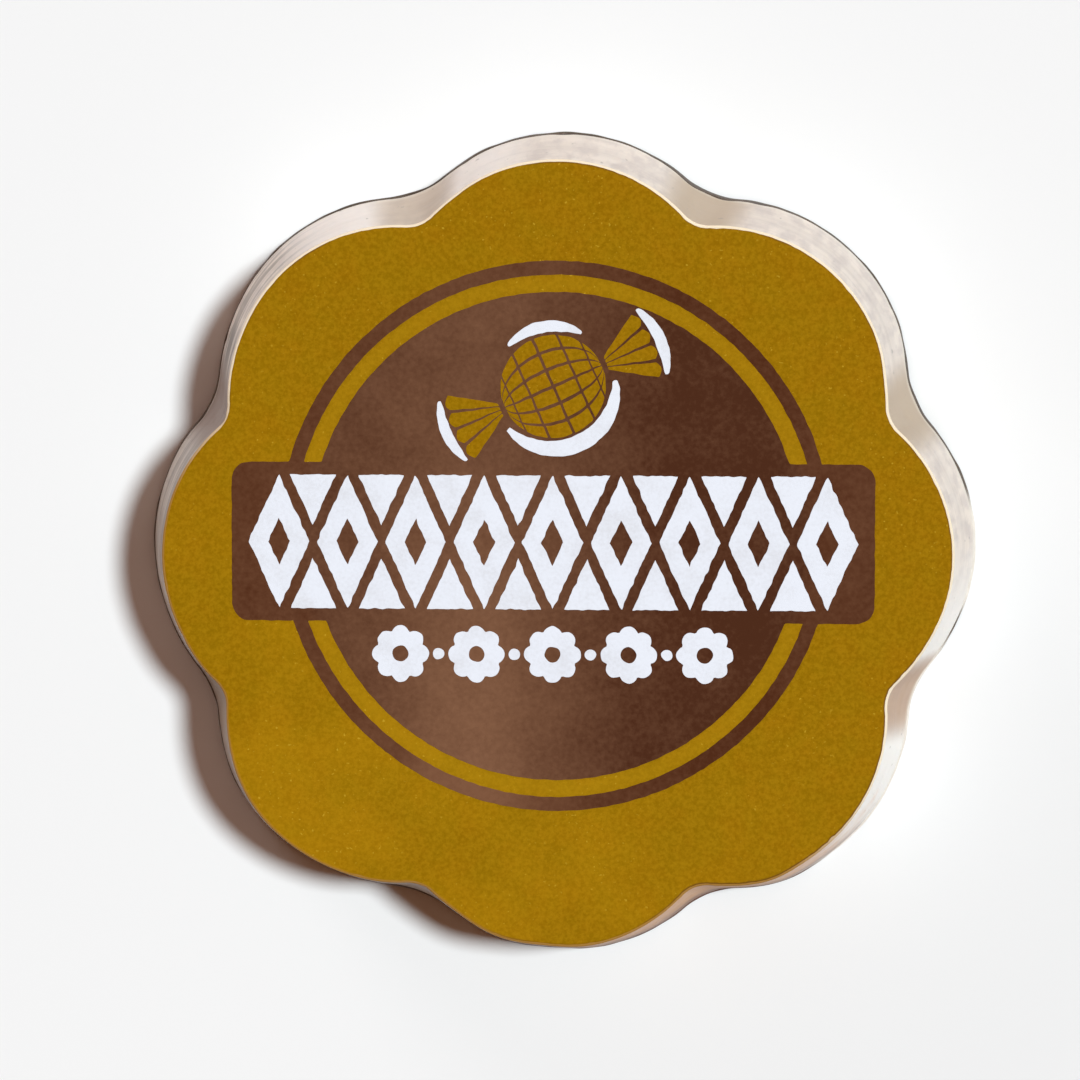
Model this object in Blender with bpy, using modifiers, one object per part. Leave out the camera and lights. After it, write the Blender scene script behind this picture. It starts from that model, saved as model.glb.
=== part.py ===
"""A flat caramel sweet with a scalloped outline, moulded in a pale coating and printed on top.

The sweet lies on its back: a thin dark base coat, the pale moulded body, a mustard sheet of colour
over its flat top, and on that a brown emblem of a disc, a ring and a banner across both. The
wall leans outwards from the top to the base, and its notches grow softer on the way down.

Metres, +Z up. The origin is the middle of the underside. +Y points to the top of the print.
"""

import math

import bmesh
import bpy

# Driving dimensions of the moulded sweet
FACE_WIDTH = 0.0440
THICKNESS = 0.0070
LOBES = 8
FACE_NOTCH_RADIUS = 0.0200
FACE_LOBE_RADIUS = 0.0095
FLARE = 0.00118
NOTCH_SOFTENING = 0.00034
ARRIS_RADIUS = 0.0002
FOOT_RADIUS = 0.00015
BASE_COAT = 0.0006
SHEET = 0.00015

# The clear space that touching pieces keep
GAP = 0.0003

# Driving dimensions of the print, measured from the middle of the face
PRINT_INSET = 0.00015
EMBLEM_CENTRE = (-0.0001, 0.00111)
DISC_RADIUS = 0.01366
RING_INNER_RADIUS = 0.01462
RING_OUTER_RADIUS = 0.0154
BANNER_CENTRE = (-0.00024, 0.00078)
BANNER_WIDTH = 0.0359
BANNER_HEIGHT = 0.0089
BANNER_CORNER = 0.0010

# How finely the round forms are divided
LOBE_STEPS = 16
NOTCH_STEPS = 8
EDGE_STEPS = 3
CIRCLE_STEPS = 128
CORNER_STEPS = 6

# Heights of the layers, from the underside up
BODY_BOTTOM = BASE_COAT + GAP
EMBLEM_BOTTOM = THICKNESS - SHEET
FACE_BOTTOM = EMBLEM_BOTTOM - GAP - SHEET
BODY_TOP = FACE_BOTTOM - GAP

# Plan of the sweet at its top edge and at its foot: lobe tip, notch and lobe radius
TOP_PLAN = (
    FACE_WIDTH / 2 + PRINT_INSET,
    FACE_NOTCH_RADIUS + PRINT_INSET,
    FACE_LOBE_RADIUS + PRINT_INSET,
)
FOOT_PLAN = (
    TOP_PLAN[0] + FLARE,
    TOP_PLAN[1] + FLARE + NOTCH_SOFTENING,
    TOP_PLAN[2] + FLARE,
)


def clear_scene():
    """Removes every object, so that the model starts from nothing."""
    for item in list(bpy.data.objects):
        bpy.data.objects.remove(item, do_unlink=True)


def new_collection(name):
    collection = bpy.data.collections.new(name)
    bpy.context.scene.collection.children.link(collection)
    return collection


def finish(name, colour, roughness, metallic=0.0):
    """A plain Principled finish for one sub-part."""
    material = bpy.data.materials.new(name)
    material.use_nodes = True
    shader = material.node_tree.nodes["Principled BSDF"]
    shader.inputs["Base Color"].default_value = (*colour, 1.0)
    shader.inputs["Roughness"].default_value = roughness
    shader.inputs["Metallic"].default_value = metallic
    return material


def rosette(tip, notch, lobe_radius):
    """Points of a scalloped outline: round lobes joined by hollow fillets that touch them smoothly."""
    half_pitch = math.pi / LOBES
    lobe_centre = tip - lobe_radius
    reach = lobe_centre * math.cos(half_pitch)
    fillet = (lobe_centre**2 + notch**2 - 2 * notch * reach - lobe_radius**2) / (
        2 * (lobe_radius - notch + reach)
    )
    fillet_centre = notch + fillet
    swing = math.atan2(
        fillet_centre * math.sin(half_pitch),
        fillet_centre * math.cos(half_pitch) - lobe_centre,
    )
    points = []
    for lobe in range(LOBES):
        axis = 2 * half_pitch * lobe
        for step in range(LOBE_STEPS):
            angle = axis - swing + 2 * swing * step / LOBE_STEPS
            points.append(polar(lobe_centre, axis, lobe_radius, angle))
        for step in range(NOTCH_STEPS):
            sweep = 2 * (swing - half_pitch) * step / NOTCH_STEPS
            angle = axis + math.pi + swing - sweep
            points.append(polar(fillet_centre, axis + half_pitch, fillet, angle))
    return points


def polar(distance, bearing, radius, angle):
    """A point at an angle on a circle whose middle lies at a distance and bearing from the origin."""
    return (
        distance * math.cos(bearing) + radius * math.cos(angle),
        distance * math.sin(bearing) + radius * math.sin(angle),
    )


def wall_section(height, inset):
    """The sweet's outline at one height of the leaning wall, drawn in by a small inset."""
    rise = height / BODY_TOP
    tip, notch, lobe_radius = (
        foot + (top - foot) * rise - inset for foot, top in zip(FOOT_PLAN, TOP_PLAN)
    )
    return [(x, y, height) for x, y in rosette(tip, notch, lobe_radius)]


def rounded_stack(bottom, top, foot_radius, arris_radius):
    """Sections of a slab of the wall from bottom to top, with both of its edges rounded over."""
    sections = []
    for step in range(EDGE_STEPS + 1):
        turn = math.pi / 2 * step / EDGE_STEPS
        inset = foot_radius * (1 - math.sin(turn))
        sections.append(wall_section(bottom + foot_radius * (1 - math.cos(turn)), inset))
    for step in range(EDGE_STEPS + 1):
        turn = math.pi / 2 * step / EDGE_STEPS
        inset = arris_radius * (1 - math.cos(turn))
        sections.append(wall_section(top - arris_radius * (1 - math.sin(turn)), inset))
    return sections


def loft(name, sections, material, collection):
    """One closed solid through a stack of outlines that have the same number of points."""
    shape = bmesh.new()
    rings = [[shape.verts.new(point) for point in section] for section in sections]
    count = len(rings[0])
    for lower, upper in zip(rings, rings[1:]):
        for i in range(count):
            j = (i + 1) % count
            shape.faces.new((lower[i], lower[j], upper[j], upper[i]))
    shape.faces.new(reversed(rings[0]))
    shape.faces.new(rings[-1])
    bmesh.ops.recalc_face_normals(shape, faces=shape.faces)
    return place(name, shape, material, collection)


def place(name, shape, material, collection):
    """Turns a bmesh into a named object with its finish, shaded smooth between its sharp edges."""
    mesh = bpy.data.meshes.new(name)
    shape.to_mesh(mesh)
    shape.free()
    mesh.materials.append(material)
    mesh.shade_smooth()
    mesh.set_sharp_from_angle(angle=math.radians(35))
    item = bpy.data.objects.new(name, mesh)
    collection.objects.link(item)
    return item


def plate(name, outline, bottom, material, collection):
    """A thin flat sheet of the given outline: a filled 2D curve, extruded and made a welded mesh."""
    curve = bpy.data.curves.new(name, "CURVE")
    curve.dimensions = "2D"
    curve.fill_mode = "BOTH"
    curve.extrude = SHEET / 2
    spline = curve.splines.new("POLY")
    spline.points.add(len(outline) - 1)
    for point, (x, y) in zip(spline.points, outline):
        point.co = (x, y, 0.0, 1.0)
    spline.use_cyclic_u = True
    drawing = bpy.data.objects.new(name + "_outline", curve)
    collection.objects.link(drawing)
    evaluated = drawing.evaluated_get(bpy.context.evaluated_depsgraph_get())
    mesh = bpy.data.meshes.new_from_object(evaluated)
    shape = bmesh.new()
    shape.from_mesh(mesh)
    bmesh.ops.remove_doubles(shape, verts=shape.verts, dist=0.000001)
    bmesh.ops.recalc_face_normals(shape, faces=shape.faces)
    bpy.data.meshes.remove(mesh)
    bpy.data.objects.remove(drawing, do_unlink=True)
    item = place(name, shape, material, collection)
    item.location.z = bottom + SHEET / 2
    return item


def rounded_rectangle(width, height, corner):
    """Points of a rectangle about the origin whose corners are quarter circles."""
    points = []
    for quarter, (side, end) in enumerate([(1, 1), (-1, 1), (-1, -1), (1, -1)]):
        x = side * (width / 2 - corner)
        y = end * (height / 2 - corner)
        for step in range(CORNER_STEPS + 1):
            angle = math.pi / 2 * (quarter + step / CORNER_STEPS)
            points.append((x + corner * math.cos(angle), y + corner * math.sin(angle)))
    return points


def disc(name, radius, bottom, material, collection):
    """A round sheet as thick as the print."""
    shape = bmesh.new()
    bmesh.ops.create_cone(
        shape,
        cap_ends=True,
        segments=CIRCLE_STEPS,
        radius1=radius,
        radius2=radius,
        depth=SHEET,
    )
    item = place(name, shape, material, collection)
    item.location.z = bottom + SHEET / 2
    return item


def ring_cutter(name, inner, outer, middle, collection):
    """A turned ring of square section, used to cut the gap between the emblem's disc and ring."""
    shape = bmesh.new()
    profile = [(outer, SHEET), (outer, -SHEET), (inner, -SHEET), (inner, SHEET)]
    corners = [shape.verts.new((radius, 0.0, height)) for radius, height in profile]
    for start, end in zip(corners, corners[1:] + corners[:1]):
        shape.edges.new((start, end))
    mesh = bpy.data.meshes.new(name)
    shape.to_mesh(mesh)
    shape.free()
    item = bpy.data.objects.new(name, mesh)
    collection.objects.link(item)
    item.location.z = middle
    screw = item.modifiers.new("turn", "SCREW")
    screw.steps = CIRCLE_STEPS
    screw.render_steps = CIRCLE_STEPS
    screw.use_merge_vertices = True
    screw.merge_threshold = 0.00001
    return item


def shift_print(item, centre):
    """Moves a printed piece to its place on the face."""
    item.location.x = centre[0]
    item.location.y = centre[1]


def combine(item, operation, other):
    """Cuts another solid out of an item, or joins it on."""
    boolean = item.modifiers.new(operation.lower(), "BOOLEAN")
    boolean.operation = operation
    boolean.solver = "EXACT"
    boolean.object = other
    other.hide_render = True
    other.display_type = "WIRE"


def build_base_layer(collection):
    """The thin dark coat that the sweet lies on, spread over the whole underside."""
    coat = finish("base_coat", (0.075, 0.045, 0.030), 0.45)
    loft("base_layer", rounded_stack(0.0, BASE_COAT, FOOT_RADIUS, FOOT_RADIUS), coat, collection)


def build_candy_body(collection):
    """The pale moulded body, with a leaning wall and a crisp, slightly rounded top edge."""
    shell = finish("pale_coating", (0.78, 0.71, 0.65), 0.4)
    sections = rounded_stack(BODY_BOTTOM, BODY_TOP, ARRIS_RADIUS, ARRIS_RADIUS)
    loft("candy_body", sections, shell, collection)


def build_face_layer(collection):
    """The sheet of mustard colour over the top, just short of the moulded edge."""
    mustard = finish("mustard_print", (0.34, 0.17, 0.004), 0.55)
    outline = rosette(FACE_WIDTH / 2, FACE_NOTCH_RADIUS, FACE_LOBE_RADIUS)
    plate("face_layer", outline, FACE_BOTTOM, mustard, collection)


def build_face_emblem(collection, cutters):
    """The brown print: a disc and a ring, with a banner laid across and joined to both."""
    brown = finish("brown_print", (0.115, 0.050, 0.026), 0.5)
    middle = EMBLEM_BOTTOM + SHEET / 2
    emblem = disc("face_emblem", RING_OUTER_RADIUS, EMBLEM_BOTTOM, brown, collection)
    gap = ring_cutter("emblem_gap", DISC_RADIUS, RING_INNER_RADIUS, middle, cutters)
    outline = rounded_rectangle(BANNER_WIDTH, BANNER_HEIGHT, BANNER_CORNER)
    banner = plate("emblem_banner", outline, EMBLEM_BOTTOM, brown, cutters)
    shift_print(emblem, EMBLEM_CENTRE)
    shift_print(gap, EMBLEM_CENTRE)
    shift_print(banner, BANNER_CENTRE)
    combine(emblem, "DIFFERENCE", gap)
    combine(emblem, "UNION", banner)


def main():
    clear_scene()
    sweet = new_collection("caramel_sweet")
    cutters = new_collection("cutters")
    build_base_layer(sweet)
    build_candy_body(sweet)
    build_face_layer(sweet)
    build_face_emblem(sweet, cutters)


main()
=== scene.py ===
import math

import bmesh
import bpy
from mathutils import Matrix, Vector, noise


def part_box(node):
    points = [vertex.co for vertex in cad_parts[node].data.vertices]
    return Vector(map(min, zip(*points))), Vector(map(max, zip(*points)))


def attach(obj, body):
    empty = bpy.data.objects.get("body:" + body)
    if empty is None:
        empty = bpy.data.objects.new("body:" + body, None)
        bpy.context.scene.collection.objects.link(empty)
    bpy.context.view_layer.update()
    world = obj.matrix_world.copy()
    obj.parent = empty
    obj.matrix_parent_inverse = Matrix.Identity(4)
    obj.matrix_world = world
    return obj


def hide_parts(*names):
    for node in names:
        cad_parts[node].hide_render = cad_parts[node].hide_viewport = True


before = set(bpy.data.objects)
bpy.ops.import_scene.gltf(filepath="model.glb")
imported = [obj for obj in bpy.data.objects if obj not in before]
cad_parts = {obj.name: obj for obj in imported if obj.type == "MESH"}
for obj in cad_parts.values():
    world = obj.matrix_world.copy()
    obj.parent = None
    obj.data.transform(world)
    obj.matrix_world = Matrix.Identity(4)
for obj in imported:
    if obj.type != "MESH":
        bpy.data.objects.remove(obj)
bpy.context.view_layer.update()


# Base coat
# A thin dark coat that was spread over the back of the sweet and crept a little way up its wall.
# It is a shallow tray: an uneven lip all round and a flat floor, with the body seated inside it.
# Lengths are in millimetres and bearings in degrees, from the right of the print towards its top.
MM = 0.001
LOBES = 8
LOBE_STEPS = 84
NOTCH_STEPS = 36
FOOT_SPREAD = 0.03
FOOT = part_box("base_layer")[1].x / MM + FOOT_SPREAD
FACE_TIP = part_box("face_layer")[1].x / MM
FACE_NOTCH = 20.0
FACE_LOBE = 9.5
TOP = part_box("face_emblem")[1].z / MM
INK_DEPTH = 0.06
BODY_TOP = TOP - INK_DEPTH
EDGE_MARGIN = 0.1
FLARE = FOOT - FACE_TIP - EDGE_MARGIN
NOTCH_SOFTENING = 0.34
# Where the real outline strays from eight equal lobes: bearing, half width, how far it swells.
STRAYS = (
    (28, 9, -0.13),
    (107, 9, -0.10),
    (146, 22, -0.12),
    (199, 12, 0.14),
    (217, 22, 0.22),
    (254, 10, -0.17),
    (268, 10, -0.17),
    (303, 10, 0.20),
    (345, 18, -0.13),
)
COAT_FLOOR = 0.3
COAT_INNER = 0.45
COAT_PROUD = 0.04
COAT_LIP = 0.38
COAT_LIP_IN_NOTCHES = 0.3
COAT_LIP_WANDER = 0.45
COAT_LIP_FRAY = 0.3
COAT_LIP_LEAST = 0.08
# The coat's outside from its foot to its lip: share of the lip's height, how far it is drawn in.
COAT_PROFILE = (
    (0.0, 0.16),
    (0.06, 0.08),
    (0.2, 0.02),
    (0.5, 0.0),
    (0.85, 0.01),
    (0.97, 0.03),
    (1.0, 2.5 * COAT_PROUD),
)
# Where the coat is so thin that the wall shows down to its foot: bearing, half width.
BARE_COAT = ((-38, 26), (2, 30), (42, 6), (87, 10), (117, 26))
BARENESS = 0.9
COAT_DARK = (0.062, 0.043, 0.030)
COAT_LIGHT = (0.125, 0.088, 0.064)
COAT_WARM_LIGHT_TINT = (0.13, 0.038, 0.016)
COAT_PALE = (0.86, 0.79, 0.71)


def polar(distance, bearing, radius, angle):
    """A point at an angle on a circle whose middle lies at a distance and bearing."""
    x = distance * math.cos(bearing) + radius * math.cos(angle)
    y = distance * math.sin(bearing) + radius * math.sin(angle)
    return x, y


def scallop(tip, notch, lobe_radius, lobe_steps=LOBE_STEPS, notch_steps=NOTCH_STEPS):
    """A scalloped outline: round lobes joined by hollow fillets that run smoothly into them."""
    half = math.pi / LOBES
    lobe_centre = tip - lobe_radius
    reach = lobe_centre * math.cos(half)
    fillet = lobe_centre**2 + notch**2 - 2 * notch * reach - lobe_radius**2
    fillet /= 2 * (lobe_radius - notch + reach)
    away = notch + fillet
    swing = math.atan2(away * math.sin(half), away * math.cos(half) - lobe_centre)
    points = []
    for lobe in range(LOBES):
        axis = 2 * half * lobe
        for step in range(lobe_steps):
            turn = swing * (2 * step / lobe_steps - 1)
            points.append(polar(lobe_centre, axis, lobe_radius, axis + turn))
        for step in range(notch_steps):
            turn = swing - 2 * (swing - half) * step / notch_steps
            points.append(polar(away, axis + half, fillet, axis + math.pi + turn))
    return points


def swell(x, y, amount):
    """Moves a point away from the sweet's axis."""
    scale = 1 + amount / math.hypot(x, y)
    return x * scale, y * scale


def hump(bearing, middle, half_width):
    """1 at a bearing in degrees, fading to nothing at some way to either side of it."""
    away = (bearing - middle + 180) % 360 - 180
    return math.exp(-((2 * away / half_width) ** 2))


def moulded(outline):
    """Gives a scalloped outline the small swellings and dents of the real sweet."""
    points = []
    for x, y in outline:
        bearing = math.degrees(math.atan2(y, x))
        stray = sum(amount * hump(bearing, middle, width) for middle, width, amount in STRAYS)
        points.append(swell(x, y, stray))
    return points


def wall_outline(height, inset=0.0):
    """The sweet's outline at one height: it leans out towards the foot, where its notches are softer."""
    lean = 1 - height / BODY_TOP
    tip = FACE_TIP + EDGE_MARGIN + FLARE * lean - inset
    notch = FACE_NOTCH + EDGE_MARGIN + (FLARE + NOTCH_SOFTENING) * lean - inset
    lobe_radius = FACE_LOBE + EDGE_MARGIN + FLARE * lean - inset
    return moulded(scallop(tip, notch, lobe_radius))


def finished_object(name, shape, sharp=35):
    """Turns a bmesh drawn in millimetres into an object in metres, smooth between its sharp edges."""
    bmesh.ops.recalc_face_normals(shape, faces=shape.faces)
    mesh = bpy.data.meshes.new(name)
    shape.to_mesh(mesh)
    shape.free()
    mesh.transform(Matrix.Scale(MM, 4))
    mesh.shade_smooth()
    mesh.set_sharp_from_angle(angle=math.radians(sharp))
    item = bpy.data.objects.new(name, mesh)
    bpy.context.scene.collection.objects.link(item)
    return item


def loft(name, sections):
    """A closed solid through a stack of outlines with the same number of points."""
    shape = bmesh.new()
    rings = [[shape.verts.new(point) for point in section] for section in sections]
    count = len(rings[0])
    for lower, upper in zip(rings, rings[1:]):
        for i in range(count):
            j = (i + 1) % count
            shape.faces.new((lower[i], lower[j], upper[j], upper[i]))
    shape.faces.new(rings[0])
    shape.faces.new(rings[-1])
    return finished_object(name, shape)


class Wire:
    """An output in a finish's node tree. Sums and products of wires add Math nodes."""

    def __init__(self, tree, socket):
        self.tree = tree
        self.socket = socket

    def node(self, kind, inputs, output=0, **settings):
        """Adds a node: its settings first, then the values or wires of its sockets."""
        made = self.tree.nodes.new(kind)
        for name, value in settings.items():
            setattr(made, name, value)
        for name, value in inputs.items():
            if isinstance(value, Wire):
                self.tree.links.new(value.socket, made.inputs[name])
            else:
                made.inputs[name].default_value = value
        return Wire(self.tree, made.outputs[output])

    def maths(self, operation, *others):
        return self.node("ShaderNodeMath", dict(enumerate((self, *others))), operation=operation)

    def __add__(self, other):
        return self.maths("ADD", other)

    def __mul__(self, other):
        return self.maths("MULTIPLY", other)

    def __truediv__(self, other):
        return self.maths("DIVIDE", other)

    def __sub__(self, other):
        return self.maths("SUBTRACT", other)

    def __rsub__(self, other):
        return self * -1 + other

    __radd__ = __add__
    __rmul__ = __mul__

    def rise(self, low, high):
        """0 below low, 1 above high and a smooth step between them."""
        inputs = {"Value": self, "From Min": low, "From Max": high}
        return self.node("ShaderNodeMapRange", inputs, interpolation_type="SMOOTHSTEP")

    def bump(self, middle, half_width):
        """1 at the middle, falling smoothly to 0 at half_width to either side."""
        return 1 - (self - middle).maths("ABSOLUTE").rise(0.0, half_width)

    def grain(self, size, detail=2.0, roughness=0.5):
        """Noise about 0.5 at this place, with lumps of the given size in millimetres."""
        inputs = {"Vector": self, "Scale": 1 / (size * MM), "Detail": detail, "Roughness": roughness}
        return self.node("ShaderNodeTexNoise", inputs)

    def stretch(self, x, y, z):
        """This place with each axis scaled, so that grain on it comes out drawn out or squeezed."""
        return self.node("ShaderNodeVectorMath", {0: self, 1: (x, y, z)}, operation="MULTIPLY")

    def mix(self, share, first, second):
        """A share of the second colour over the first. Each is a wire or three numbers."""
        inputs = {0: share}
        for place, colour in ((6, first), (7, second)):
            inputs[place] = colour if isinstance(colour, Wire) else (*colour, 1)
        return self.node("ShaderNodeMix", inputs, output=2, data_type="RGBA")

    def blend(self, first, second):
        """A colour between two, by this wire's value from 0 to 1."""
        return self.mix(self, first, second)

    def tinted(self, colour, share):
        """This colour with a share of another over it."""
        return self.mix(share, self, colour)


class Finish:
    """A material with one Principled shader, and wires for the place that is being shaded."""

    def __init__(self, name, **constants):
        self.material = bpy.data.materials.new(name)
        self.material.use_nodes = True
        tree = self.material.node_tree
        self.shader = tree.nodes["Principled BSDF"]
        for socket, value in constants.items():
            self.shader.inputs[socket.replace("_", " ")].default_value = value
        self.place = Wire(tree, tree.nodes.new("ShaderNodeTexCoord").outputs["Object"])
        split = [self.place.node("ShaderNodeSeparateXYZ", {0: self.place}, axis) for axis in range(3)]
        self.x, self.y, self.z = (wire / MM for wire in split)
        self.radius = self.distance(0, 0)

    def distance(self, x, y):
        """How far this place is from a point of the plan, in millimetres."""
        across = self.x - x
        along = self.y - y
        return (across * across + along * along).maths("SQRT")

    def towards(self, bearing):
        """The cosine of the angle between this place's bearing and the given one in degrees."""
        turn = math.radians(bearing)
        return (self.x * math.cos(turn) + self.y * math.sin(turn)) / self.radius

    def feed(self, **wires):
        """Links wires to the shader's sockets."""
        for socket, wire in wires.items():
            wire.tree.links.new(wire.socket, self.shader.inputs[socket.replace("_", " ")])

    def relief(self, height, depth):
        """Bumps of the given depth in millimetres where height goes from 0 to 1."""
        inputs = {"Height": height, "Distance": depth * MM}
        self.feed(Normal=height.node("ShaderNodeBump", inputs))


def dress(item, finish, slot, *nodes):
    """Gives a piece its finish, lets it ride with the sweet and stand for its solids."""
    item.data.materials.clear()
    item.data.materials.append(finish.material)
    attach(item, "root")
    if nodes:
        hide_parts(*nodes)


def coat_lip(x, y):
    """How high the coat climbs the wall at this bearing: higher in the notches, low where it is bare."""
    bearing = math.degrees(math.atan2(y, x))
    pitch = 360 / LOBES
    height = COAT_LIP + COAT_LIP_IN_NOTCHES * hump(bearing % pitch, pitch / 2, 14)
    height += COAT_LIP_WANDER * noise.noise(Vector((x * 0.22, y * 0.22, 3.0)))
    height += COAT_LIP_FRAY * noise.noise(Vector((x * 0.7, y * 0.7, 7.0)))
    bare = max(hump(bearing, middle, width) for middle, width in BARE_COAT)
    return max(COAT_LIP_LEAST, height * (1 - BARENESS * bare))


def coat_section(share, inset):
    """One ring of the coat's outside, at a share of the lip's height."""
    section = []
    for x, y in wall_outline(0.0):
        height = share * coat_lip(x, y)
        lean = FLARE * height / BODY_TOP
        proud = COAT_PROUD * (1 + noise.noise(Vector((x * 0.9, y * 0.9, share))))
        section.append((*swell(x, y, proud - lean - inset), height))
    return section


sections = [coat_section(share, inset) for share, inset in COAT_PROFILE]
sections.append([(x, y, COAT_FLOOR) for x, y in wall_outline(COAT_FLOOR, COAT_INNER)])
base_coat = loft("base_coat", sections)

coat = Finish("dark_base_coat", Specular_IOR_Level=0.3)
mottle = coat.place.grain(1.1, 4)
speckle = coat.place.grain(0.16, 2)
# Painted warm light: the coat is tinted red towards the lower right.
coat_painted_warm_light = coat.towards(-68).rise(0.86, 0.95)
# Towards the right and lower right the coat is painted pale: partly where it is thin, partly painted
# light where the lamp falls strongest.
bare = coat.towards(-33).rise(0.93, 0.966).maths("MAXIMUM", coat.towards(-1).rise(0.985, 0.996))
tone = (mottle * 0.7 + speckle * 0.3).rise(0.3, 0.7).blend(COAT_DARK, COAT_LIGHT)
tone = tone.tinted(COAT_WARM_LIGHT_TINT, coat_painted_warm_light * 0.7)
tone = tone.tinted(COAT_PALE, bare * 0.9)
coat.feed(Base_Color=tone, Roughness=0.36 + 0.25 * mottle)
coat.relief(speckle + 2 * mottle, 0.05)
dress(base_coat, coat, "base_coat", "base_layer")


# Moulded body
# The pale body of the sweet, cast in a scalloped mould whose wall leans so that it lets go.
# Its wall keeps the mould's fine lines and a few pits, and its top edge is slightly rounded.
# Its colour carries painted light and shade: painted shade greys it at the upper left and browns it at
# the lower left, painted warm light tans it at the lower right, painted highlights lie near the top and
# right, and its notches hold painted shade over a real stain.
WALL_RINGS = 56
ARRIS = 0.09
ARRIS_RINGS = 5
BODY_BOTTOM = COAT_FLOOR + 0.02
BODY_FOOT_INSET = 0.3
WAIST = 3.7
WAIST_DEPTH = 0.04
WAVE_DEPTH = 0.03
LINE_DEPTH = 0.012
FINE_LINE_DEPTH = 0.004
PIT_DEPTH = 0.10
PIT_LEVEL = 0.40
COATING_DULL = (0.66, 0.585, 0.535)
COATING_BRIGHT = (0.82, 0.735, 0.655)
WAIST_TINT = (0.58, 0.52, 0.48)
LEFT_SHADE_TINT = (0.34, 0.31, 0.29)
LINE_TINT = (0.20, 0.18, 0.165)
PAINTED_HIGHLIGHT_TINT = (0.97, 0.92, 0.88)
PAINTED_LIGHT_TINT = (0.97, 0.95, 0.91)
HOLLOW_SHADE_AND_STAIN_TINT = (0.49, 0.385, 0.28)
LEFT_HOLLOW_SHADE_TINT = (0.29, 0.22, 0.19)
RUST_TINT = (0.42, 0.22, 0.10)
SMUDGE_TINT = (0.30, 0.27, 0.24)
FOOT_HIGHLIGHT_TINT = (0.84, 0.78, 0.68)
PAINTED_SHADE_BROWN = (0.26, 0.175, 0.125)
WARM_LIGHT_LOW_TINT = (0.20, 0.075, 0.035)
WARM_LIGHT_HIGH_TINT = (0.72, 0.41, 0.22)
ARRIS_CREAM = (0.90, 0.76, 0.56)
ARRIS_BROWN = (0.38, 0.19, 0.03)


def mould_mark(x, y, z):
    """How far the wall stands out or in here: slow waves, fine lines round it, pits and a faint waist."""
    mark = WAVE_DEPTH * noise.noise(Vector((x * 0.2, y * 0.2, z * 0.15)))
    mark += LINE_DEPTH * noise.noise(Vector((x * 0.09, y * 0.09, z * 2.6)))
    mark += FINE_LINE_DEPTH * noise.noise(Vector((x * 0.25, y * 0.25, z * 7.0)))
    mark -= PIT_DEPTH * max(0.0, noise.noise(Vector((x * 1.1, y * 1.1, z * 1.1 + 20))) - PIT_LEVEL)
    return mark - WAIST_DEPTH * math.exp(-(((z - WAIST) / 0.5) ** 2))


def body_section(height, inset):
    section = []
    for x, y in wall_outline(height, inset):
        mark = mould_mark(x, y, height)
        section.append((*swell(x, y, mark), height))
    return section


sections = [body_section(BODY_BOTTOM, BODY_FOOT_INSET), body_section(BODY_BOTTOM, 0.02)]
for ring in range(1, WALL_RINGS):
    height = BODY_BOTTOM + (BODY_TOP - ARRIS - BODY_BOTTOM) * ring / WALL_RINGS
    sections.append(body_section(height, 0.0))
for ring in range(ARRIS_RINGS + 1):
    turn = math.pi / 2 * ring / ARRIS_RINGS
    inset = ARRIS * (1 - math.cos(turn))
    sections.append(body_section(BODY_TOP - ARRIS * (1 - math.sin(turn)), inset))
body = loft("moulded_body", sections)

shell = Finish(
    "pale_moulded_coating",
    Subsurface_Weight=0.1,
    Subsurface_Scale=0.0010,
    Subsurface_Radius=(1.0, 0.7, 0.5),
    Specular_IOR_Level=0.35,
)
blotch = shell.place.stretch(1, 1, 0.3).grain(0.95, 4, 0.55)
smudge = shell.place.stretch(1, 1, 0.45).grain(0.5, 2)
lines = shell.place.stretch(0.12, 0.12, 1.5).grain(1.0, 3, 0.6)
patchy = shell.place.grain(2.6, 3, 0.6) - 0.5
hollow = (shell.y.maths("ARCTAN2", shell.x) * LOBES).maths("COSINE").rise(-0.45, -0.95)
waist = shell.z.bump(WAIST, 1.8) * blotch.rise(0.35, 0.6)
foot = 1 - shell.z.rise(0.6, 1.2)
# Painted shade: the wall greys towards the upper left, most of all in its notch there.
painted_shade_left = shell.towards(165).rise(0.93, 0.97)
scuffed = shell.towards(138).rise(0.968, 0.990)
# Painted highlight on the wall near the top.
painted_highlight_top = shell.towards(114).rise(0.93, 0.975)
# Painted light: the wall is made almost white towards the right, where the lamp falls strongest.
painted_light_right = shell.towards(-28).rise(0.86, 0.97) * (1 - hollow)
# Less painted shade in the notch at the lower right, which the lamp lights.
pale = shell.towards(-26).rise(0.980, 0.995)
rusty = shell.towards(-21).rise(0.985, 0.996)
# Painted shade: the wall is darkened to brown towards the lower left.
painted_shade_lower_left = (shell.towards(228) + 0.5 * patchy).rise(0.35, 0.95)
# Painted warm light on the wall at the lower right.
painted_warm_light_lower_right = (shell.towards(-70) + 0.25 * patchy).rise(0.84, 0.99)
# The top edge is golden brown instead of cream towards the lower left.
arris_lower_left = shell.towards(238).rise(0.0, 0.4)
hollow_shade_and_stain = painted_shade_left.blend(HOLLOW_SHADE_AND_STAIN_TINT, LEFT_HOLLOW_SHADE_TINT)
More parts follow.
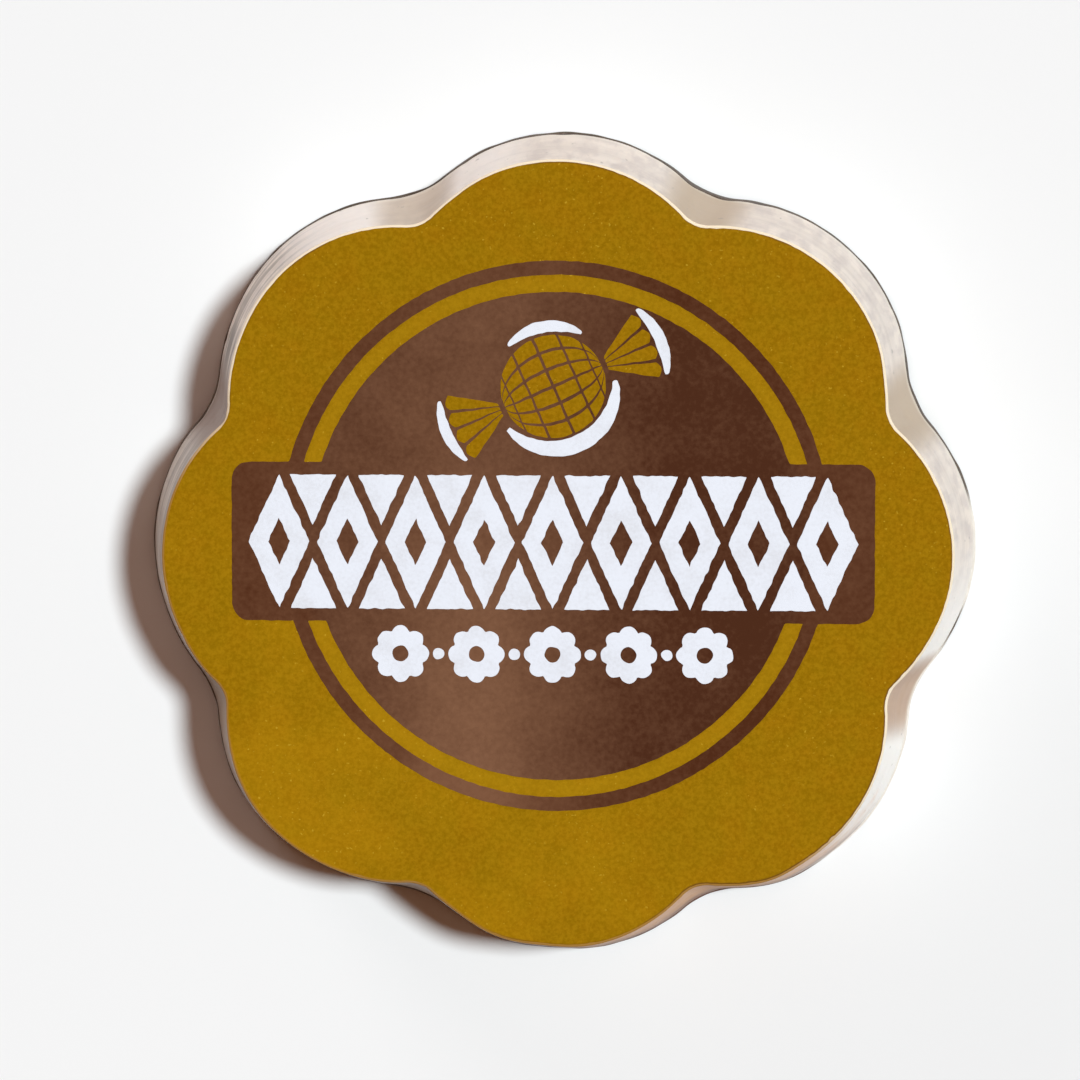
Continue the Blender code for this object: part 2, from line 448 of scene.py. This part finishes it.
# The painted warm light is deep red-brown near the foot and orange tan higher up.
tan = (shell.z + 5 * patchy).rise(0.6, 4.0).blend(WARM_LIGHT_LOW_TINT, WARM_LIGHT_HIGH_TINT)
arris = arris_lower_left.blend(ARRIS_CREAM, ARRIS_BROWN)
wall = blotch.rise(0.34, 0.62).blend(COATING_DULL, COATING_BRIGHT)
wall = wall.tinted(WAIST_TINT, waist * 0.3)
wall = wall.tinted(LEFT_SHADE_TINT, painted_shade_left * 0.42)
wall = wall.tinted(LINE_TINT, (0.08 + painted_shade_left * 0.45 + scuffed * 0.45) * lines.rise(0.46, 0.60))
wall = wall.tinted(PAINTED_HIGHLIGHT_TINT, painted_highlight_top * (1 - hollow) * 0.75)
wall = wall.tinted(PAINTED_LIGHT_TINT, painted_light_right * 0.9)
# Painted shade in the notches over a real stain, weaker under the painted highlight and in the lit notch.
wall = wall.tinted(hollow_shade_and_stain, hollow * (0.93 - 0.30 * painted_highlight_top - 0.60 * pale))
wall = wall.tinted(RUST_TINT, hollow * rusty * 0.6)
wall = wall.tinted(SMUDGE_TINT, smudge.rise(0.70, 0.78) * 0.5)
# Painted highlight along the foot of the wall.
wall = wall.tinted(FOOT_HIGHLIGHT_TINT, foot * 0.4)
wall = wall.tinted(PAINTED_SHADE_BROWN, painted_shade_lower_left * 0.75)
wall = wall.tinted(tan, painted_warm_light_lower_right * 0.75)
wall = wall.tinted(arris, shell.z.rise(BODY_TOP - 0.22, BODY_TOP - 0.08))
shell.feed(Base_Color=wall, Roughness=0.45 + 0.3 * blotch)
shell.relief(lines * 0.5 + smudge * 0.5, 0.03)
dress(body, shell, "pale_coating", "candy_body")


# Mustard face
# A thin sheet of mustard colour printed over the whole top, just short of the moulded edge.
# It has a fine grain and a few light flecks. Its edge is rounded and a little chipped,
# golden at the left and dark at the lower right.
SHEET_BOTTOM = BODY_TOP - 0.04
SHEET_TOP = TOP - 0.035
SHEET_RIM = 0.2
SHEET_DROP = 0.035
SHEET_FLAT = 0.4
RIM_STEPS = 5
CHIP_LEVEL = 0.33
EMBLEM_LOW, EMBLEM_HIGH = (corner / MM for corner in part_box("face_emblem"))
RING_OUTER = (EMBLEM_HIGH.y - EMBLEM_LOW.y) / 2
RING_WIDTH = 0.78
STRIP_WIDTH = 0.96
EMBLEM_CENTRE = (-0.1, EMBLEM_HIGH.y - RING_OUTER)
GREENISH = (0.306, 0.165, 0.0006)
REDDISH = (0.331, 0.151, 0.0004)
GRAIN_DARK = (0.225, 0.108, 0.0001)
GRAIN_LIGHT = (0.430, 0.221, 0.0060)
LOWER_TINT = (0.55, 0.295, 0.005)
STRIP_TINT = (0.46, 0.255, 0.006)
FLECK_TINT = (0.62, 0.40, 0.03)
RIM_DARK = (0.15, 0.065, 0.010)
RIM_GOLDEN = (0.50, 0.25, 0.02)


def sheet_section(inset, height):
    """The sheet's outline, drawn in by an inset, with a tremor and with chips, most at lower right."""
    section = []
    for x, y in moulded(scallop(FACE_TIP - inset, FACE_NOTCH - inset, FACE_LOBE - inset)):
        bearing = math.degrees(math.atan2(y, x))
        chip = noise.noise(Vector((x * 1.3, y * 1.3, 11.0)))
        bite = (0.1 + 0.2 * hump(bearing, -56, 44)) * max(0.0, chip - CHIP_LEVEL)
        tremor = 0.02 * noise.noise(Vector((x * 3.0, y * 3.0, 5.0)))
        section.append((*swell(x, y, tremor - bite), height))
    return section


sections = [sheet_section(0.02, SHEET_BOTTOM)]
for step in range(RIM_STEPS + 1):
    turn = math.pi / 2 * step / RIM_STEPS
    height = SHEET_TOP - SHEET_DROP * (1 - math.sin(turn))
    sections.append(sheet_section(SHEET_RIM * (1 - math.cos(turn)), height))
sections.append(sheet_section(SHEET_FLAT, SHEET_TOP))
face = loft("mustard_face", sections)

mustard = Finish("mustard_print", Specular_IOR_Level=0.02)
fine = mustard.place.grain(0.22, 3, 0.65)
fleck = mustard.place.grain(0.2, 1)
hue = mustard.place.grain(1.6, 3, 0.6)
cloud = mustard.place.grain(5.0, 2)
toned = (0.45 * hue + 0.25 * cloud + 0.06 * mustard.radius.rise(13.0, 22.0)).rise(0.26, 0.54)
lower = (mustard.y * -1 - mustard.x * 0.7).rise(-4.0, 24.0)
strip_middle = RING_OUTER - RING_WIDTH - STRIP_WIDTH / 2
strip = mustard.distance(*EMBLEM_CENTRE).bump(strip_middle, 0.9)
edge = 1 - mustard.z.rise(SHEET_TOP - 0.014, SHEET_TOP - 0.001)
# The rim is darker towards the lower right.
rim_lower_right = mustard.towards(-44).rise(0.80, 0.92)
rim = edge * (0.15 + cloud.rise(0.42, 0.58) * 0.5).maths("MAXIMUM", rim_lower_right * 0.85)
rim_tint = mustard.towards(215).rise(0.6, 0.8).blend(RIM_DARK, RIM_GOLDEN)
sheet = toned.blend(GREENISH, REDDISH)
sheet = sheet.tinted(fine.rise(0.30, 0.70).blend(GRAIN_DARK, GRAIN_LIGHT), 0.42)
sheet = sheet.tinted(LOWER_TINT, lower * cloud.rise(0.3, 0.7) * 0.22)
sheet = sheet.tinted(STRIP_TINT, strip * 0.3)
sheet = sheet.tinted(FLECK_TINT, fleck.rise(0.70, 0.76) * cloud.rise(0.35, 0.6) * 0.5)
sheet = sheet.tinted(rim_tint, rim)
mustard.feed(Base_Color=sheet, Roughness=0.55 + 0.2 * fine)
mustard.relief(fine, 0.004)
dress(face, mustard, "mustard_print", "face_layer")


# Brown emblem
# A disc and a thin ring round it, with a banner laid across both, printed in one brown ink.
# Painted sheen lightens it towards the left, most of all in a soft upright band left of the middle, over
# real unevenness of the ink.
TRACE_STEP = 0.12
INK_ROUNDING = 0.006
INK_CREASE = 15
WELD = 0.0005
RING_INNER = RING_OUTER - RING_WIDTH
DISC = RING_INNER - STRIP_WIDTH
RAGGEDNESS = 0.02
BANNER_HALF = (EMBLEM_HIGH.x - EMBLEM_LOW.x) / 2 - RAGGEDNESS
BANNER_HEIGHT = 8.9
BANNER_MIDDLE = (-0.14, -0.325)
BANNER_TOP = BANNER_MIDDLE[1] + BANNER_HEIGHT / 2
BANNER_BOTTOM = BANNER_MIDDLE[1] - BANNER_HEIGHT / 2
BANNER_CORNER = 1.0
EMBLEM_TOP = TOP - 0.015
EMBLEM_BOTTOM = SHEET_TOP - 0.01
INK_THICK = (0.072, 0.022, 0.0085)
INK_THIN_AND_SHEEN = (0.230, 0.108, 0.057)
RING_TINT = (0.10, 0.020, 0.0)
INK_SEED = 1
# Without a seed, Blender's vector noise would make the ragged edges of the ink different in each run.
noise.seed_set(INK_SEED)


def evenly(loop):
    """The same closed outline with points evenly spaced along it."""
    ends = loop[1:] + loop[:1]
    lengths = [math.dist(start, end) for start, end in zip(loop, ends)]
    count = max(8, round(sum(lengths) / TRACE_STEP))
    spacing = sum(lengths) / count
    points = []
    passed = 0.0
    for start, end, length in zip(loop, ends, lengths):
        while len(points) * spacing < passed + length and len(points) < count:
            share = (len(points) * spacing - passed) / length
            points.append(tuple(a + (b - a) * share for a, b in zip(start, end)))
        passed += length
    return points


def ragged(loop, depth, size, seed):
    """An outline with the slightly uneven edge of printed ink."""
    points = []
    for x, y in evenly(loop):
        shake = noise.noise_vector(Vector((x / size, y / size, seed)))
        points.append((x + depth * shake.x, y + depth * shake.y))
    return points


def ink_layer(name, loops, bottom, top):
    """Closed outlines filled as a sheet of ink of real thickness. A loop inside another is a hole."""
    drawing = bpy.data.curves.new(name, "CURVE")
    drawing.dimensions = "2D"
    drawing.fill_mode = "BOTH"
    drawing.extrude = (top - bottom) / 2 - INK_ROUNDING
    drawing.bevel_depth = INK_ROUNDING
    drawing.bevel_resolution = 1
    drawing.offset = -INK_ROUNDING
    for loop in loops:
        spline = drawing.splines.new("POLY")
        spline.points.add(len(loop) - 1)
        for point, (x, y) in zip(spline.points, loop):
            point.co = (x, y, 0.0, 1.0)
        spline.use_cyclic_u = True
    outline = bpy.data.objects.new(name + "_outline", drawing)
    bpy.context.scene.collection.objects.link(outline)
    evaluated = outline.evaluated_get(bpy.context.evaluated_depsgraph_get())
    mesh = bpy.data.meshes.new_from_object(evaluated)
    shape = bmesh.new()
    shape.from_mesh(mesh)
    bpy.data.objects.remove(outline)
    bpy.data.meshes.remove(mesh)
    bmesh.ops.remove_doubles(shape, verts=shape.verts, dist=WELD)
    bmesh.ops.translate(shape, verts=shape.verts, vec=(0, 0, (bottom + top) / 2))
    return finished_object(name, shape, sharp=INK_CREASE)


def arc(centre, radius, start, end, count=48):
    """Points along part of a circle, from one bearing to another in degrees."""
    points = []
    for step in range(count + 1):
        angle = math.radians(start + (end - start) * step / count)
        points.append((centre[0] + radius * math.cos(angle), centre[1] + radius * math.sin(angle)))
    return points


def on_face(loop):
    """Puts a loop that is drawn about the emblem's middle in its place on the face."""
    return [(EMBLEM_CENTRE[0] + x, EMBLEM_CENTRE[1] + y) for x, y in loop]


def meets(radius, height):
    """The bearing in degrees at which a circle about the middle crosses a level line, right side."""
    return math.degrees(math.asin(height / radius))


def gap_arc(height, side):
    """The hole between disc and ring, above the banner for side 1 and below it for side -1."""
    outer = meets(RING_INNER, abs(height))
    inner = meets(DISC, abs(height))
    loop = arc((0, 0), RING_INNER, outer, 180 - outer, 160)
    loop += arc((0, 0), DISC, 180 - inner, inner, 160)
    return [(x, side * y) for x, y in loop]


def banner_corner(x_side, y_side, start):
    x = BANNER_MIDDLE[0] + x_side * (BANNER_HALF - BANNER_CORNER)
    level = BANNER_TOP if y_side > 0 else BANNER_BOTTOM
    return arc((x, level - y_side * BANNER_CORNER), BANNER_CORNER, start, start + 90, 10)


above = meets(RING_OUTER, BANNER_TOP)
below = meets(RING_OUTER, BANNER_BOTTOM)
emblem_outline = arc((0, 0), RING_OUTER, above, 180 - above, 200)
emblem_outline += banner_corner(-1, 1, 90) + banner_corner(-1, -1, 180)
emblem_outline += arc((0, 0), RING_OUTER, 180 - below, 360 + below, 200)
emblem_outline += banner_corner(1, -1, 270) + banner_corner(1, 1, 0)
loops = [emblem_outline, gap_arc(BANNER_TOP, 1), gap_arc(BANNER_BOTTOM, -1)]
loops = [ragged(on_face(loop), 0.035, 0.45, 1.0) for loop in loops]
emblem = ink_layer("brown_emblem", loops, EMBLEM_BOTTOM, EMBLEM_TOP)

brown = Finish("brown_print", Specular_IOR_Level=0.04)
fine = brown.place.grain(0.3, 3, 0.62)
cloud = brown.place.grain(2.5, 3)
ring = brown.distance(*EMBLEM_CENTRE).rise(DISC, RING_INNER)
# Painted sheen: the brown is lighter towards the left, in a soft upright band left of the middle and a
# little at the far right.
left = (1 - brown.x.rise(-1.0, 8.5)) * (0.65 + 0.35 * brown.x.rise(-19.0, -12.0))
sheen_band = brown.x.bump(-4.8, 7.4) * (1 - 0.65 * brown.y.rise(-8.0, 8.0))
right = brown.x.rise(10.0, 17.0)
# A lighter patch on the ring at the lower left.
ring_light_patch = ring * brown.towards(249).rise(0.955, 0.990)
ink_and_sheen = (0.02 + 0.31 * left + 0.48 * sheen_band + 0.20 * right) * (1 - 0.25 * ring)
ink_and_sheen = ink_and_sheen + 0.07 * ring + 0.30 * ring_light_patch
# Real unevenness of the ink, at random.
ink_and_sheen = ink_and_sheen + 0.42 * (cloud - 0.5) + 0.62 * (fine - 0.5)
ink = ink_and_sheen.blend(INK_THICK, INK_THIN_AND_SHEEN).tinted(RING_TINT, ring * 0.18)
brown.feed(Base_Color=ink, Roughness=0.5 + 0.2 * fine)
brown.relief(fine, 0.005)
dress(emblem, brown, "brown_print", "face_emblem")


# White marks on the banner
# A row of tall diamonds with a diamond cut out of each, and a triangle above and below between them.
# They are printed over the brown in a thick white ink, whose edges are slightly ragged.
WHITE_BOTTOM = EMBLEM_TOP - 0.008
DIAMONDS = 9
ROW_HALF = 17.2
ROW_HEIGHT = 7.5
STRAP = 0.42
OPENING = (0.62, 1.3)
WHITE_THIN = (0.72, 0.73, 0.78)
WHITE_THICK = (0.83, 0.86, 0.94)


def diamond(centre, half_width, half_height):
    x, y = centre
    return [(x + half_width, y), (x, y + half_height), (x - half_width, y), (x, y - half_height)]


pitch = 2 * ROW_HALF / DIAMONDS
half_width = (pitch - STRAP) / 2
half_height = ROW_HEIGHT / 2
steepness = half_height / half_width
loops = []
for number in range(DIAMONDS):
    x = BANNER_MIDDLE[0] - ROW_HALF + pitch * (number + 0.5)
    loops.append(diamond((x, BANNER_MIDDLE[1]), half_width, half_height))
    loops.append(diamond((x, BANNER_MIDDLE[1]), *OPENING))
    if number:
        for side in (-1, 1):
            tip = (x - pitch / 2, BANNER_MIDDLE[1] + side * STRAP * steepness)
            level = BANNER_MIDDLE[1] + side * half_height
            reach = (level - tip[1]) * side / steepness
            loops.append([tip, (tip[0] + reach, level), (tip[0] - reach, level)])
loops = [ragged(on_face(loop), 0.07, 0.4, 2.0) for loop in loops]
banner_marks = ink_layer("banner_marks", loops, WHITE_BOTTOM, TOP)

white = Finish("white_print", Specular_IOR_Level=0.2)
fine = white.place.grain(0.2, 3, 0.6)
patch = white.place.grain(1.6, 3)
ink = (0.6 * patch + 0.4 * fine).rise(0.2, 0.62).blend(WHITE_THIN, WHITE_THICK)
white.feed(Base_Color=ink, Roughness=0.45 + 0.2 * fine)
white.relief(fine * 0.6 + patch * 0.4, 0.012)
dress(banner_marks, white, "white_print")


# Rosettes under the banner
# Five small white rosettes with a hole in the middle, and a dot between each two of them.
# They are printed with the marks on the banner, in the same ink.
ROSETTES = 5
ROSETTE_PITCH = 4.25
ROSETTE_LEVEL = -6.6
ROSETTE_TIP = 1.6
ROSETTE_NOTCH = 1.32
PETAL = 0.5
ROSETTE_HOLE = 0.45
DOT = 0.32

loops = []
for number in range(ROSETTES):
    x = BANNER_MIDDLE[0] + ROSETTE_PITCH * (number - (ROSETTES - 1) / 2)
    petals = scallop(ROSETTE_TIP, ROSETTE_NOTCH, PETAL, 10, 6)
    loops.append([(x + across, ROSETTE_LEVEL + along) for across, along in petals])
    loops.append(arc((x, ROSETTE_LEVEL), ROSETTE_HOLE, 0, 350, 35))
    if number:
        loops.append(arc((x - ROSETTE_PITCH / 2, ROSETTE_LEVEL), DOT, 0, 345, 23))
loops = [ragged(on_face(loop), 0.045, 0.4, 3.0) for loop in loops]
rosettes = ink_layer("small_rosettes", loops, WHITE_BOTTOM, TOP)
dress(rosettes, white, "white_print")


# Wrapped sweet over the banner
# A round sweet in a twisted wrapper: its folds are mustard ink with the brown showing between.
# White strokes run under it, over it and along both of its fanned ends, printed last.
SWEET_MIDDLE = (-0.1, 8.4)
SWEET_TILT = math.radians(24)
SWEET_RADIUS = 2.95
GORES = 6
CHECKS = 6
CHECK_GAP = 0.05
GORE_GAP = 0.06
GORE_REACH = math.radians(82)
FOLD_STEPS = 8
PLEATS = 4
PLEAT_GAP = 0.09
PLEAT_ROUNDING = 0.22
NECK = 3.2
NECK_SHARE = 0.2
FAN_END = 5.9
FAN_SAG = 0.35
FAN_HALF_WIDTH = 2.0


def turned(loop, angle, middle):
    """Turns a loop drawn about the origin, and puts its origin at a middle."""
    cosine = math.cos(angle)
    sine = math.sin(angle)
    x_0, y_0 = middle
    return [(x_0 + x * cosine - y * sine, y_0 + x * sine + y * cosine) for x, y in loop]


def check(low, high, start, end):
    """One check of the wrapper on the round sweet: part of a fold that runs from twist to twist."""
    loop = []
    for share, first, last in ((low, start, end), (high, end, start)):
        for step in range(FOLD_STEPS + 1):
            turn = first + (last - first) * step / FOLD_STEPS
            loop.append((SWEET_RADIUS * math.sin(turn), SWEET_RADIUS * math.cos(turn) * share))
    return loop


def pleat(number, side):
    """One fold of the twisted end, narrow at the twist and wide at its rounded tip."""
    width = 2 * FAN_HALF_WIDTH / PLEATS
    low = width * number - FAN_HALF_WIDTH + PLEAT_GAP
    high = width * (number + 1) - FAN_HALF_WIDTH - PLEAT_GAP
    loop = [(side * NECK, low * NECK_SHARE), (side * NECK, high * NECK_SHARE)]
    for step in range(FOLD_STEPS + 1):
        along = 1 - step / FOLD_STEPS
        y = low + (high - low) * along
        sag = FAN_SAG * (y / FAN_HALF_WIDTH) ** 2
        loop.append((side * (FAN_END - sag + PLEAT_ROUNDING * math.sin(math.pi * along)), y))
    return loop


def stroke(points, width):
    """A brush stroke along points, widest in the middle and tapering to both ends."""
    left = []
    right = []
    last = len(points) - 1
    for i, (x, y) in enumerate(points):
        ahead = points[min(i + 1, last)]
        behind = points[max(i - 1, 0)]
        along = Vector((ahead[0] - behind[0], ahead[1] - behind[1])).normalized()
        half = width / 2 * (0.25 + 0.75 * math.sin(math.pi * i / last) ** 0.7)
        left.append((x - along.y * half, y + along.x * half))
        right.append((x + along.y * half, y - along.x * half))
    return left + right[::-1]


def on_sweet(loop):
    """Puts a loop that is drawn about the little sweet's middle in its tilted place on the face."""
    return on_face(turned(loop, SWEET_TILT, SWEET_MIDDLE))


loops = []
for fold in range(GORES):
    low = 2 * fold / GORES - 1 + GORE_GAP / 2
    high = 2 * (fold + 1) / GORES - 1 - GORE_GAP / 2
    for number in range(CHECKS):
        start = GORE_REACH * (2 * number / CHECKS - 1) + CHECK_GAP / 2
        end = GORE_REACH * (2 * (number + 1) / CHECKS - 1) - CHECK_GAP / 2
        loops.append(check(low, high, start, end))
loops += [pleat(number, side) for number in range(PLEATS) for side in (-1, 1)]
loops = [ragged(on_sweet(loop), 0.035, 0.5, 4.0) for loop in loops]
wrapper = ink_layer("wrapped_sweet", loops, WHITE_BOTTOM, TOP - 0.004)
dress(wrapper, mustard, "mustard_print")

stroke_under = stroke(arc((0, 0), SWEET_RADIUS + 0.52, -160, -18, 60), 0.95)
stroke_over = stroke(arc((0, 0), SWEET_RADIUS + 0.42, 38, 114, 40), 0.66)
stroke_right = stroke(arc((2.1, 0), FAN_END - 1.5, -26, 28, 40), 0.66)
stroke_left = stroke(arc((-2.1, 0), FAN_END - 1.5, 156, 205, 40), 0.6)
loops = [stroke_under, stroke_over, stroke_right, stroke_left]
loops = [ragged(on_sweet(loop), 0.045, 0.4, 5.0) for loop in loops]
highlights = ink_layer("wrapped_sweet_strokes", loops, WHITE_BOTTOM, TOP)
dress(highlights, white, "white_print")


# Camera
# It looks down on the face from a little above and to the right of its middle, as the photograph does.
# The frame is 1080 pixels wide, in which the face measures 790, with its middle at (556.8, 556.8).
FRAME_PIXELS = 1080
FACE_PIXELS = 790
FACE_AT = (556.8, 556.8)
LENS = 210
SENSOR = 36
PIXEL = 2 * FACE_TIP * MM / FACE_PIXELS
LOOKS_FROM = (0.056, 0.103, 0.993)

towards = Vector(LOOKS_FROM).normalized()
rightwards = Vector((0, 1, 0)).cross(towards).normalized()
upwards = towards.cross(rightwards)
distance = FRAME_PIXELS * PIXEL * LENS / SENSOR
target = Vector((0, 0, TOP * MM))
target -= rightwards * (FACE_AT[0] - FRAME_PIXELS / 2) * PIXEL
target += upwards * (FACE_AT[1] - FRAME_PIXELS / 2) * PIXEL
camera_data = bpy.data.cameras.new("camera")
camera_data.lens = LENS
camera_data.sensor_width = SENSOR
camera_data.clip_start = 0.01
camera = bpy.data.objects.new("camera", camera_data)
axes = Matrix((rightwards, upwards, towards)).transposed().to_4x4()
camera.matrix_world = Matrix.Translation(target + towards * distance) @ axes
bpy.context.scene.collection.objects.link(camera)
bpy.context.scene.camera = camera


# Floor and light
# A plain pale floor under the sweet. A high lamp from the right throws the short shadow at the left.
# A low and very soft one from the upper left lights the far wall. The faint fill is warm and makes
# the shadow brown, while the camera itself sees a pale grey surround.
FLOOR_SIZE = 6.0
FLOOR_DARK = (0.895, 0.895, 0.895)
FLOOR_LIGHT = (0.9, 0.9, 0.9)
FILL = (0.14, 0.06, 0.03, 1)
SURROUND = (0.9, 0.9, 0.9, 1)
# Each lamp: bearing, elevation and spread in degrees, strength, colour.
LAMPS = (
    ("key", 20, 62.5, 10, 3.35, (0.878, 0.966, 1.0)),
    ("low", 126, 9, 24, 1.0, (1.0, 0.93, 0.90)),
)

shape = bmesh.new()
bmesh.ops.create_grid(shape, x_segments=8, y_segments=8, size=FLOOR_SIZE / 2 / MM)
floor = finished_object("floor", shape)
paper = Finish("pale_floor", Specular_IOR_Level=0.0)
paper.feed(Base_Color=paper.place.grain(30, 2).rise(0.2, 0.8).blend(FLOOR_DARK, FLOOR_LIGHT))
floor.data.materials.append(paper.material)

for name, bearing, elevation, spread, energy, colour in LAMPS:
    lamp_data = bpy.data.lights.new(name, "SUN")
    lamp_data.energy = energy
    lamp_data.color = colour
    lamp_data.angle = math.radians(spread)
    lamp = bpy.data.objects.new(name, lamp_data)
    turn = math.radians(bearing)
    aim = Vector((math.cos(turn), math.sin(turn), math.tan(math.radians(elevation))))
    lamp.rotation_euler = aim.to_track_quat("Z", "Y").to_euler()
    bpy.context.scene.collection.objects.link(lamp)

world = bpy.data.worlds.new("surround")
world.use_nodes = True
bpy.context.scene.world = world
fill = world.node_tree.nodes["Background"]
fill.inputs["Color"].default_value = FILL
seen = world.node_tree.nodes.new("ShaderNodeBackground")
seen.inputs["Color"].default_value = SURROUND
rays = world.node_tree.nodes.new("ShaderNodeLightPath")
choice = world.node_tree.nodes.new("ShaderNodeMixShader")
world.node_tree.links.new(rays.outputs["Is Camera Ray"], choice.inputs[0])
world.node_tree.links.new(fill.outputs[0], choice.inputs[1])
world.node_tree.links.new(seen.outputs[0], choice.inputs[2])
world.node_tree.links.new(choice.outputs[0], world.node_tree.nodes["World Output"].inputs["Surface"])
bpy.context.scene.view_settings.view_transform = "Standard"
